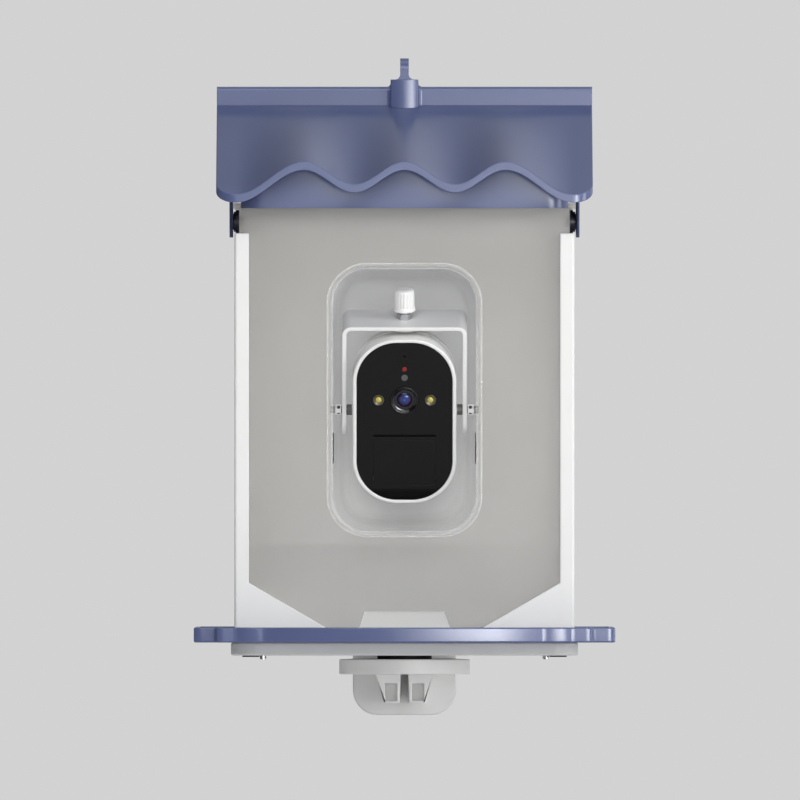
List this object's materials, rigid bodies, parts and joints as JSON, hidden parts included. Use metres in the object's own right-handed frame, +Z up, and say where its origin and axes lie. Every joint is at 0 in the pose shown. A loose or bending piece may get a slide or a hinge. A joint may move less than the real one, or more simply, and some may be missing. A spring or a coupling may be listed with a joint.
{
  "type": "smart bird feeder",
  "caption": "Bird feeder with a clear-fronted seed hopper, a hinged corrugated roof, a camera on a tilting yoke in a bay, a landing tray and a wall bracket.",
  "frame": {"origin": "middle of the four wall screw holes, on the back face of the wall plate", "axes": "+Z up, +Y into the wall, +X to the right as seen from the front; the front faces -Y"},
  "size_m": [0.2312, 0.232, 0.3628],
  "materials": {
    "roof_blue": "satin",
    "tray_blue": "satin",
    "hinge_dark": "satin",
    "white_plastic": "satin",
    "white_mount": "satin",
    "white_camera": "gloss",
    "clear_plastic": "clear, gloss",
    "black_gloss": "gloss",
    "black_trim": "satin",
    "black_rubber": "matte",
    "steel": "brushed",
    "brass": "turned",
    "lens_glass": "coated",
    "lamp_amber": "gloss",
    "lamp_red": "gloss",
    "sensor_grey": "satin",
    "board_green": "satin",
    "cell_wrap": "satin"
  },
  "bodies": {
    "frame": {"feeding_tray": "tray_blue", "hinge_pin_left": "hinge_dark", "hinge_pin_right": "hinge_dark", "housing": "white_plastic", "seed_ramp": "white_plastic", "base_plate": "white_plastic", "wall_bracket": "white_plastic", "hopper_window": "clear_plastic", "camera_bay": "clear_plastic", "rubber_washer": "black_rubber", "base_pads": "black_rubber", "hinge_pin_screws": "steel", "base_screws": "steel", "bracket_screw": "steel", "tilt_screws": "steel", "threaded_insert": "brass"},
    "lid": {"roof_shell": "roof_blue", "ridge_cap": "roof_blue", "ridge_screws": "steel"},
    "camera": {"yoke": "white_mount", "mount_pad": "white_mount", "mount_insert": "brass", "camera_body": "white_camera", "camera_back": "white_camera", "camera_face": "black_gloss", "face_gasket": "black_rubber", "lens_ring": "black_trim", "lens_barrel": "black_trim", "front_lens": "lens_glass", "spot_lamps": "lamp_amber", "status_lamp": "lamp_red", "light_sensor": "sensor_grey", "motion_window": "black_gloss", "motion_sensor": "sensor_grey", "main_board": "board_green", "battery_cell": "cell_wrap", "speaker": "black_trim"},
    "thumb_screw": {"thumb_knob": "white_mount", "thumb_stud": "steel", "jam_nut": "steel"}
  },
  "joints": [
    {"name": "lid_hinge", "type": "hinge", "parent": "frame", "child": "lid", "pos_m": [0, -0.092, 0.2112], "axis": [-1, 0, 0], "range_deg": [0, 60]},
    {"name": "camera_tilt", "type": "hinge", "parent": "frame", "child": "camera", "pos_m": [0, -0.122, 0.1075], "axis": [1, 0, 0], "range_deg": [-18, 10]},
    {"name": "thumb_turn", "type": "hinge", "parent": "camera", "child": "thumb_screw", "pos_m": [0, -0.122, 0.1075], "axis": [0, -0.309, 0.9511], "continuous": true}
  ]
}
